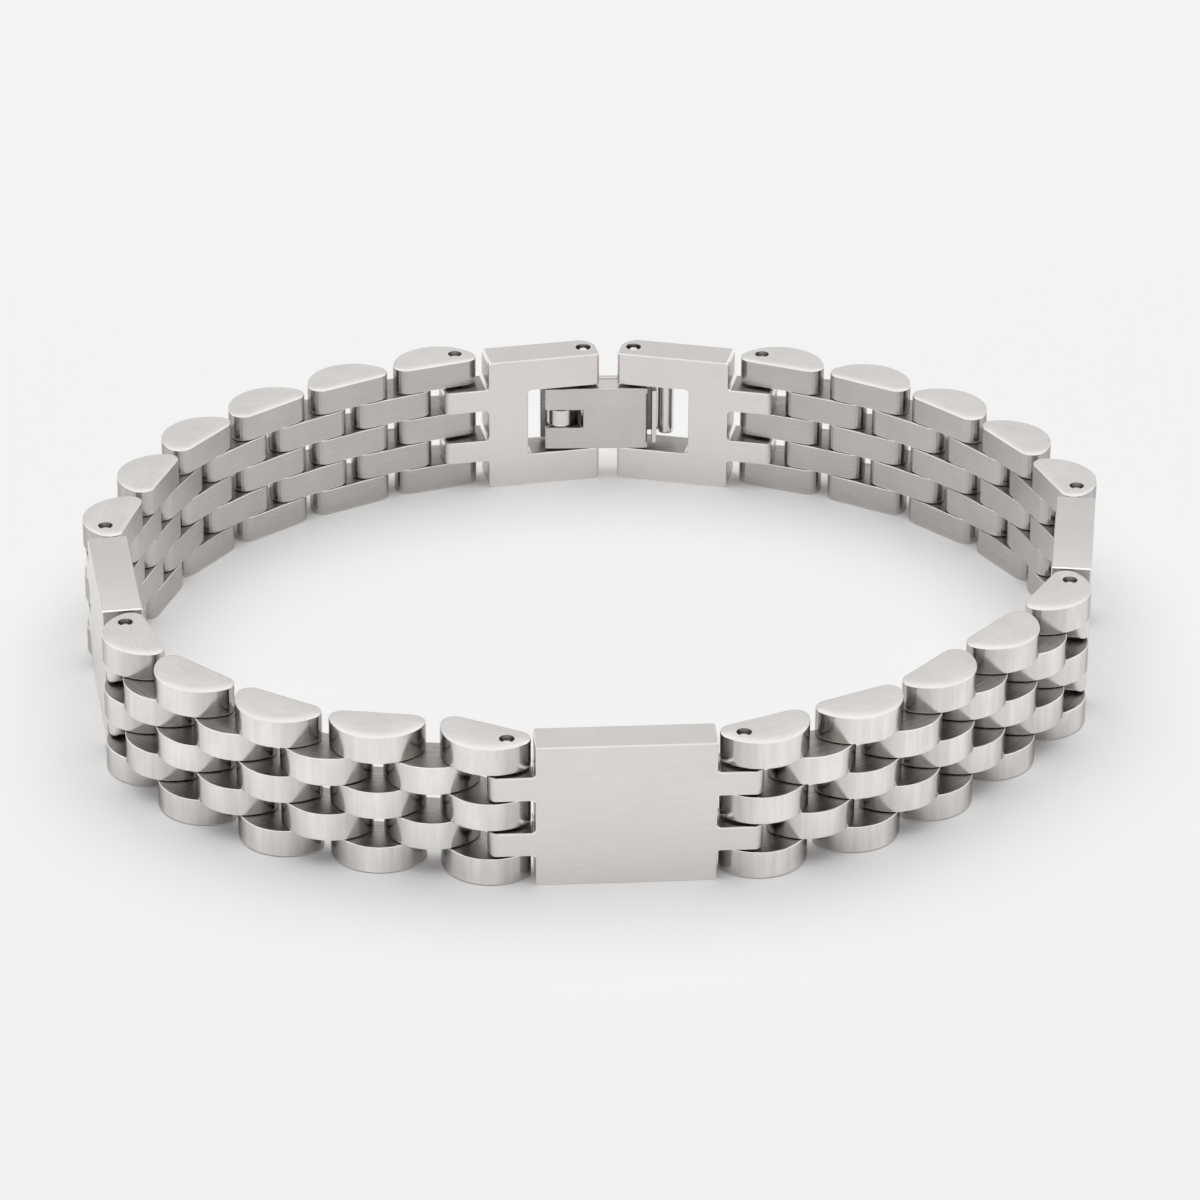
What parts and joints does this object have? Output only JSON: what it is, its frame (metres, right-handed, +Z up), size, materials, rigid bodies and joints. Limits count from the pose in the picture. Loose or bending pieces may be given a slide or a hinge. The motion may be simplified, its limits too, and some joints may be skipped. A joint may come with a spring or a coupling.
{
  "type": "link watch bracelet",
  "caption": "Closed loop of half-round steel links in brick pattern with flat plates, hinge pins and a fold-over clasp.",
  "frame": {"origin": "centre of the bounding box's underside, the bracelet standing on its edge", "axes": "+Z up along the band's width, front plate towards -Y, clasp towards +Y"},
  "size_m": [0.0698, 0.0618, 0.01],
  "materials": {
    "polished_steel": "semi-polished",
    "satin_steel": "satin",
    "clasp_steel": "brushed",
    "pin_steel": "ground"
  },
  "bodies": {
    "front_plate": {"front_plate": "satin_steel"},
    "front_left_triple_link_1": {"front_left_triple_link_1": "polished_steel", "front_left_first_pin": "pin_steel"},
    "front_left_double_link_1": {"front_left_double_link_1": "polished_steel"},
    "front_left_triple_link_2": {"front_left_triple_link_2": "polished_steel"},
    "front_left_double_link_2": {"front_left_double_link_2": "polished_steel"},
    "front_left_triple_link_3": {"front_left_triple_link_3": "polished_steel"},
    "front_left_double_link_3": {"front_left_double_link_3": "polished_steel"},
    "front_left_triple_link_4": {"front_left_triple_link_4": "polished_steel"},
    "front_left_double_link_4": {"front_left_double_link_4": "polished_steel"},
    "front_left_triple_link_5": {"front_left_triple_link_5": "polished_steel", "front_left_last_pin": "pin_steel"},
    "back_left_triple_link_1": {"back_left_triple_link_1": "polished_steel", "back_left_first_pin": "pin_steel"},
    "back_left_double_link_1": {"back_left_double_link_1": "polished_steel"},
    "back_left_triple_link_2": {"back_left_triple_link_2": "polished_steel"},
    "back_left_double_link_2": {"back_left_double_link_2": "polished_steel"},
    "back_left_triple_link_3": {"back_left_triple_link_3": "polished_steel"},
    "back_left_double_link_3": {"back_left_double_link_3": "polished_steel"},
    "back_left_triple_link_4": {"back_left_triple_link_4": "polished_steel"},
    "back_left_double_link_4": {"back_left_double_link_4": "polished_steel"},
    "back_left_triple_link_5": {"back_left_triple_link_5": "polished_steel"},
    "back_left_double_link_5": {"back_left_double_link_5": "polished_steel"},
    "back_left_triple_link_6": {"back_left_triple_link_6": "polished_steel", "back_left_last_pin": "pin_steel"},
    "back_right_triple_link_1": {"back_right_triple_link_1": "polished_steel", "back_right_first_pin": "pin_steel"},
    "back_right_double_link_1": {"back_right_double_link_1": "polished_steel"},
    "back_right_triple_link_2": {"back_right_triple_link_2": "polished_steel"},
    "back_right_double_link_2": {"back_right_double_link_2": "polished_steel"},
    "back_right_triple_link_3": {"back_right_triple_link_3": "polished_steel"},
    "back_right_double_link_3": {"back_right_double_link_3": "polished_steel"},
    "back_right_triple_link_4": {"back_right_triple_link_4": "polished_steel"},
    "back_right_double_link_4": {"back_right_double_link_4": "polished_steel"},
    "back_right_triple_link_5": {"back_right_triple_link_5": "polished_steel", "back_right_last_pin": "pin_steel"},
    "front_right_triple_link_1": {"front_right_triple_link_1": "polished_steel", "front_right_first_pin": "pin_steel"},
    "front_right_double_link_1": {"front_right_double_link_1": "polished_steel"},
    "front_right_triple_link_2": {"front_right_triple_link_2": "polished_steel"},
    "front_right_double_link_2": {"front_right_double_link_2": "polished_steel"},
    "front_right_triple_link_3": {"front_right_triple_link_3": "polished_steel"},
    "front_right_double_link_3": {"front_right_double_link_3": "polished_steel"},
    "front_right_triple_link_4": {"front_right_triple_link_4": "polished_steel"},
    "front_right_double_link_4": {"front_right_double_link_4": "polished_steel"},
    "front_right_triple_link_5": {"front_right_triple_link_5": "polished_steel", "front_right_last_pin": "pin_steel"},
    "left_plate": {"left_plate": "satin_steel"},
    "right_plate": {"right_plate": "satin_steel"},
    "left_end_plate": {"left_end_plate": "satin_steel", "clasp_catch_bar": "pin_steel"},
    "right_end_plate": {"right_end_plate": "satin_steel", "clasp_anchor_bar": "pin_steel"},
    "clasp_leaf": {"clasp_leaf": "clasp_steel", "clasp_cover_pin": "pin_steel"},
    "clasp_cover": {"clasp_cover": "clasp_steel"}
  },
  "joints": [
    {"name": "front_left_triple_link_1_hinge", "type": "hinge", "parent": "front_plate", "child": "front_left_triple_link_1", "pos_m": [-0.00536, -0.02985, 0.005], "axis": [0, 0, -1], "range_deg": [-4, 4]},
    {"name": "front_left_double_link_1_hinge", "type": "hinge", "parent": "front_left_triple_link_1", "child": "front_left_double_link_1", "pos_m": [-0.00851, -0.02832, 0.005], "axis": [0, 0, -1], "range_deg": [-40, 110]},
    {"name": "front_left_triple_link_2_hinge", "type": "hinge", "parent": "front_left_double_link_1", "child": "front_left_triple_link_2", "pos_m": [-0.01199, -0.02796, 0.005], "axis": [0, 0, -1], "range_deg": [-61, 89]},
    {"name": "front_left_double_link_2_hinge", "type": "hinge", "parent": "front_left_triple_link_2", "child": "front_left_double_link_2", "pos_m": [-0.01546, -0.02753, 0.005], "axis": [0, 0, -1], "range_deg": [-71, 79]},
    {"name": "front_left_triple_link_3_hinge", "type": "hinge", "parent": "front_left_double_link_2", "child": "front_left_triple_link_3", "pos_m": [-0.01879, -0.02645, 0.005], "axis": [0, 0, -1], "range_deg": [-73, 77]},
    {"name": "front_left_double_link_3_hinge", "type": "hinge", "parent": "front_left_triple_link_3", "child": "front_left_double_link_3", "pos_m": [-0.02179, -0.02465, 0.005], "axis": [0, 0, -1], "range_deg": [-65, 85]},
    {"name": "front_left_triple_link_4_hinge", "type": "hinge", "parent": "front_left_double_link_3", "child": "front_left_triple_link_4", "pos_m": [-0.02462, -0.02259, 0.005], "axis": [0, 0, -1], "range_deg": [-65, 85]},
    {"name": "front_left_double_link_4_hinge", "type": "hinge", "parent": "front_left_triple_link_4", "child": "front_left_double_link_4", "pos_m": [-0.02727, -0.0203, 0.005], "axis": [0, 0, -1], "range_deg": [-71, 79]},
    {"name": "front_left_triple_link_5_hinge", "type": "hinge", "parent": "front_left_double_link_4", "child": "front_left_triple_link_5", "pos_m": [-0.02942, -0.01754, 0.005], "axis": [0, 0, -1], "range_deg": [-76, 74]},
    {"name": "left_plate_hinge", "type": "hinge", "parent": "front_left_triple_link_5", "child": "left_plate", "pos_m": [-0.03073, -0.01429, 0.005], "axis": [0, 0, -1], "range_deg": [-72.01, 77.99]},
    {"name": "back_left_triple_link_1_hinge", "type": "hinge", "parent": "left_plate", "child": "back_left_triple_link_1", "pos_m": [-0.03322, -0.00018, 0.005], "axis": [0, 0, -1], "range_deg": [-82.01, 67.99]},
    {"name": "back_left_double_link_1_hinge", "type": "hinge", "parent": "back_left_triple_link_1", "child": "back_left_double_link_1", "pos_m": [-0.0325, 0.00325, 0.005], "axis": [0, 0, -1], "range_deg": [-64.01, 85.99]},
    {"name": "back_left_triple_link_2_hinge", "type": "hinge", "parent": "back_left_double_link_1", "child": "back_left_triple_link_2", "pos_m": [-0.03153, 0.00661, 0.005], "axis": [0, 0, -1], "range_deg": [-61.01, 88.99]},
    {"name": "back_left_double_link_2_hinge", "type": "hinge", "parent": "back_left_triple_link_2", "child": "back_left_double_link_2", "pos_m": [-0.0305, 0.00996, 0.005], "axis": [0, 0, -1], "range_deg": [-65.01, 84.99]},
    {"name": "back_left_triple_link_3_hinge", "type": "hinge", "parent": "back_left_double_link_2", "child": "back_left_triple_link_3", "pos_m": [-0.02919, 0.0132, 0.005], "axis": [0, 0, -1], "range_deg": [-71.01, 78.99]},
    {"name": "back_left_double_link_3_hinge", "type": "hinge", "parent": "back_left_triple_link_3", "child": "back_left_double_link_3", "pos_m": [-0.02728, 0.01614, 0.005], "axis": [0, 0, -1], "range_deg": [-69.01, 80.99]},
    {"name": "back_left_triple_link_4_hinge", "type": "hinge", "parent": "back_left_double_link_3", "child": "back_left_triple_link_4", "pos_m": [-0.02494, 0.01873, 0.005], "axis": [0, 0, -1], "range_deg": [-66.01, 83.99]},
    {"name": "back_left_double_link_4_hinge", "type": "hinge", "parent": "back_left_triple_link_4", "child": "back_left_double_link_4", "pos_m": [-0.02234, 0.02107, 0.005], "axis": [0, 0, -1], "range_deg": [-66.01, 83.99]},
    {"name": "back_left_triple_link_5_hinge", "type": "hinge", "parent": "back_left_double_link_4", "child": "back_left_triple_link_5", "pos_m": [-0.0195, 0.02313, 0.005], "axis": [0, 0, -1], "range_deg": [-64.01, 85.99]},
    {"name": "back_left_double_link_5_hinge", "type": "hinge", "parent": "back_left_triple_link_5", "child": "back_left_double_link_5", "pos_m": [-0.01653, 0.02497, 0.005], "axis": [0, 0, -1], "range_deg": [-65.01, 84.99]},
    {"name": "back_left_triple_link_6_hinge", "type": "hinge", "parent": "back_left_double_link_5", "child": "back_left_triple_link_6", "pos_m": [-0.01341, 0.02656, 0.005], "axis": [0, 0, -1], "range_deg": [-65.01, 84.99]},
    {"name": "left_end_plate_hinge", "type": "hinge", "parent": "back_left_triple_link_6", "child": "left_end_plate", "pos_m": [-0.01016, 0.02786, 0.005], "axis": [0, 0, -1], "range_deg": [-74.01, 75.99]},
    {"name": "clasp_leaf_hinge", "type": "hinge", "parent": "right_end_plate", "child": "clasp_leaf", "pos_m": [0.00284, 0.02927, 0.005], "axis": [0, 0, 1], "range_deg": [-15, 15]},
    {"name": "right_end_plate_hinge", "type": "hinge", "parent": "back_right_triple_link_1", "child": "right_end_plate", "pos_m": [0.01217, 0.0281, 0.005], "axis": [0, 0, 1], "range_deg": [-74, 76]},
    {"name": "back_right_triple_link_1_hinge", "type": "hinge", "parent": "back_right_double_link_1", "child": "back_right_triple_link_1", "pos_m": [0.01544, 0.02684, 0.005], "axis": [0, 0, 1], "range_deg": [-64, 86]},
    {"name": "back_right_double_link_1_hinge", "type": "hinge", "parent": "back_right_triple_link_2", "child": "back_right_double_link_1", "pos_m": [0.01861, 0.02536, 0.005], "axis": [0, 0, 1], "range_deg": [-65, 85]},
    {"name": "back_right_triple_link_2_hinge", "type": "hinge", "parent": "back_right_double_link_2", "child": "back_right_triple_link_2", "pos_m": [0.02163, 0.0236, 0.005], "axis": [0, 0, 1], "range_deg": [-68, 82]},
    {"name": "back_right_double_link_2_hinge", "type": "hinge", "parent": "back_right_triple_link_3", "child": "back_right_double_link_2", "pos_m": [0.02439, 0.02144, 0.005], "axis": [0, 0, 1], "range_deg": [-67, 83]},
    {"name": "back_right_triple_link_3_hinge", "type": "hinge", "parent": "back_right_double_link_3", "child": "back_right_triple_link_3", "pos_m": [0.02685, 0.01896, 0.005], "axis": [0, 0, 1], "range_deg": [-66, 84]},
    {"name": "back_right_double_link_3_hinge", "type": "hinge", "parent": "back_right_triple_link_4", "child": "back_right_double_link_3", "pos_m": [0.02905, 0.01623, 0.005], "axis": [0, 0, 1], "range_deg": [-67, 83]},
    {"name": "back_right_triple_link_4_hinge", "type": "hinge", "parent": "back_right_double_link_4", "child": "back_right_triple_link_4", "pos_m": [0.0309, 0.01326, 0.005], "axis": [0, 0, 1], "range_deg": [-69.99, 80.01]},
    {"name": "back_right_double_link_4_hinge", "type": "hinge", "parent": "back_right_triple_link_5", "child": "back_right_double_link_4", "pos_m": [0.0322, 0.01001, 0.005], "axis": [0, 0, 1], "range_deg": [-60.99, 89.01]},
    {"name": "back_right_triple_link_5_hinge", "type": "hinge", "parent": "right_plate", "child": "back_right_triple_link_5", "pos_m": [0.03345, 0.00674, 0.005], "axis": [0, 0, 1], "range_deg": [-86.99, 63.01]},
    {"name": "right_plate_hinge", "type": "hinge", "parent": "front_right_triple_link_1", "child": "right_plate", "pos_m": [0.03192, -0.00751, 0.005], "axis": [0, 0, 1], "range_deg": [-81.99, 68.01]},
    {"name": "front_right_triple_link_1_hinge", "type": "hinge", "parent": "front_right_double_link_1", "child": "front_right_triple_link_1", "pos_m": [0.03028, -0.0106, 0.005], "axis": [0, 0, 1], "range_deg": [-66.99, 83.01]},
    {"name": "front_right_double_link_1_hinge", "type": "hinge", "parent": "front_right_triple_link_2", "child": "front_right_double_link_1", "pos_m": [0.02826, -0.01346, 0.005], "axis": [0, 0, 1], "range_deg": [-63.99, 86.01]},
    {"name": "front_right_triple_link_2_hinge", "type": "hinge", "parent": "front_right_double_link_2", "child": "front_right_triple_link_2", "pos_m": [0.02606, -0.01618, 0.005], "axis": [0, 0, 1], "range_deg": [-60.99, 89.01]},
    {"name": "front_right_double_link_2_hinge", "type": "hinge", "parent": "front_right_triple_link_3", "child": "front_right_double_link_2", "pos_m": [0.02381, -0.01886, 0.005], "axis": [0, 0, 1], "range_deg": [-58.99, 91.01]},
    {"name": "front_right_triple_link_3_hinge", "type": "hinge", "parent": "front_right_double_link_3", "child": "front_right_triple_link_3", "pos_m": [0.0216, -0.02158, 0.005], "axis": [0, 0, 1], "range_deg": [-70.99, 79.01]},
    {"name": "front_right_double_link_3_hinge", "type": "hinge", "parent": "front_right_triple_link_4", "child": "front_right_double_link_3", "pos_m": [0.01892, -0.02382, 0.005], "axis": [0, 0, 1], "range_deg": [-70.99, 79.01]},
    {"name": "front_right_triple_link_4_hinge", "type": "hinge", "parent": "front_right_double_link_4", "child": "front_right_triple_link_4", "pos_m": [0.01586, -0.02552, 0.005], "axis": [0, 0, 1], "range_deg": [-59.99, 90.01]},
    {"name": "front_right_double_link_4_hinge", "type": "hinge", "parent": "front_right_triple_link_5", "child": "front_right_double_link_4", "pos_m": [0.0128, -0.02721, 0.005], "axis": [0, 0, 1], "range_deg": [-61.99, 88.01]},
    {"name": "front_right_triple_link_5_hinge", "type": "hinge", "parent": "front_plate", "child": "front_right_triple_link_5", "pos_m": [0.00968, -0.0288, 0.005], "axis": [0, 0, 1], "range_deg": [-82.99, 67.01]},
    {"name": "clasp_cover_hinge", "type": "hinge", "parent": "clasp_leaf", "child": "clasp_cover", "pos_m": [-0.0025, 0.02835, 0.005], "axis": [0, 0, 1], "range_deg": [0, 60]}
  ],
  "couplings": [
    {"joint": "front_left_double_link_1_hinge", "follows": "front_left_triple_link_1_hinge", "ratio": 0.78474},
    {"joint": "front_left_triple_link_2_hinge", "follows": "front_left_triple_link_1_hinge", "ratio": 0.5751},
    {"joint": "front_left_double_link_2_hinge", "follows": "front_left_triple_link_1_hinge", "ratio": 0.43375},
    {"joint": "front_left_triple_link_3_hinge", "follows": "front_left_triple_link_1_hinge", "ratio": 0.36441},
    {"joint": "front_left_double_link_3_hinge", "follows": "front_left_triple_link_1_hinge", "ratio": 0.24452},
    {"joint": "front_left_triple_link_4_hinge", "follows": "front_left_triple_link_1_hinge", "ratio": 0.076169},
    {"joint": "front_left_double_link_4_hinge", "follows": "front_left_triple_link_1_hinge", "ratio": -0.19887},
    {"joint": "front_left_triple_link_5_hinge", "follows": "front_left_triple_link_1_hinge", "ratio": -0.66962},
    {"joint": "left_plate_hinge", "follows": "front_left_triple_link_1_hinge", "ratio": -0.96871},
    {"joint": "back_left_triple_link_1_hinge", "follows": "front_left_triple_link_1_hinge", "ratio": -0.77173},
    {"joint": "back_left_double_link_1_hinge", "follows": "front_left_triple_link_1_hinge", "ratio": -0.64923},
    {"joint": "back_left_triple_link_2_hinge", "follows": "front_left_triple_link_1_hinge", "ratio": -0.63462},
    {"joint": "back_left_double_link_2_hinge", "follows": "front_left_triple_link_1_hinge", "ratio": -0.7023},
    {"joint": "back_left_triple_link_3_hinge", "follows": "front_left_triple_link_1_hinge", "ratio": -0.72257},
    {"joint": "back_left_double_link_3_hinge", "follows": "front_left_triple_link_1_hinge", "ratio": -0.5144},
    {"joint": "back_left_triple_link_4_hinge", "follows": "front_left_triple_link_1_hinge", "ratio": -0.15986},
    {"joint": "back_left_double_link_4_hinge", "follows": "front_left_triple_link_1_hinge", "ratio": 0.14555},
    {"joint": "back_left_triple_link_5_hinge", "follows": "front_left_triple_link_1_hinge", "ratio": 0.3272},
    {"joint": "back_left_double_link_5_hinge", "follows": "front_left_triple_link_1_hinge", "ratio": 0.45785},
    {"joint": "back_left_triple_link_6_hinge", "follows": "front_left_triple_link_1_hinge", "ratio": 0.57173},
    {"joint": "left_end_plate_hinge", "follows": "front_left_triple_link_1_hinge", "ratio": 0.69773},
    {"joint": "clasp_leaf_hinge", "follows": "front_left_triple_link_1_hinge", "ratio": 1.1103},
    {"joint": "right_end_plate_hinge", "follows": "front_left_triple_link_1_hinge", "ratio": 0.99715},
    {"joint": "back_right_triple_link_1_hinge", "follows": "front_left_triple_link_1_hinge", "ratio": 0.7968},
    {"joint": "back_right_double_link_1_hinge", "follows": "front_left_triple_link_1_hinge", "ratio": 0.45253},
    {"joint": "back_right_triple_link_2_hinge", "follows": "front_left_triple_link_1_hinge", "ratio": 0.027751},
    {"joint": "back_right_double_link_2_hinge", "follows": "front_left_triple_link_1_hinge", "ratio": -0.2081},
    {"joint": "back_right_triple_link_3_hinge", "follows": "front_left_triple_link_1_hinge", "ratio": -0.28662},
    {"joint": "back_right_double_link_3_hinge", "follows": "front_left_triple_link_1_hinge", "ratio": -0.32941},
    {"joint": "back_right_triple_link_4_hinge", "follows": "front_left_triple_link_1_hinge", "ratio": -0.40755},
    {"joint": "back_right_double_link_4_hinge", "follows": "front_left_triple_link_1_hinge", "ratio": -0.57121},
    {"joint": "back_right_triple_link_5_hinge", "follows": "front_left_triple_link_1_hinge", "ratio": -0.78925},
    {"joint": "right_plate_hinge", "follows": "front_left_triple_link_1_hinge", "ratio": -1.1443},
    {"joint": "front_right_triple_link_1_hinge", "follows": "front_left_triple_link_1_hinge", "ratio": -0.89252},
    {"joint": "front_right_double_link_1_hinge", "follows": "front_left_triple_link_1_hinge", "ratio": -0.5863},
    {"joint": "front_right_triple_link_2_hinge", "follows": "front_left_triple_link_1_hinge", "ratio": -0.35552},
    {"joint": "front_right_double_link_2_hinge", "follows": "front_left_triple_link_1_hinge", "ratio": -0.20332},
    {"joint": "front_right_triple_link_3_hinge", "follows": "front_left_triple_link_1_hinge", "ratio": -0.13218},
    {"joint": "front_right_double_link_3_hinge", "follows": "front_left_triple_link_1_hinge", "ratio": 0.088039},
    {"joint": "front_right_triple_link_4_hinge", "follows": "front_left_triple_link_1_hinge", "ratio": 0.48984},
    {"joint": "front_right_double_link_4_hinge", "follows": "front_left_triple_link_1_hinge", "ratio": 0.81035},
    {"joint": "front_right_triple_link_5_hinge", "follows": "front_left_triple_link_1_hinge", "ratio": 1.0545}
  ]
}
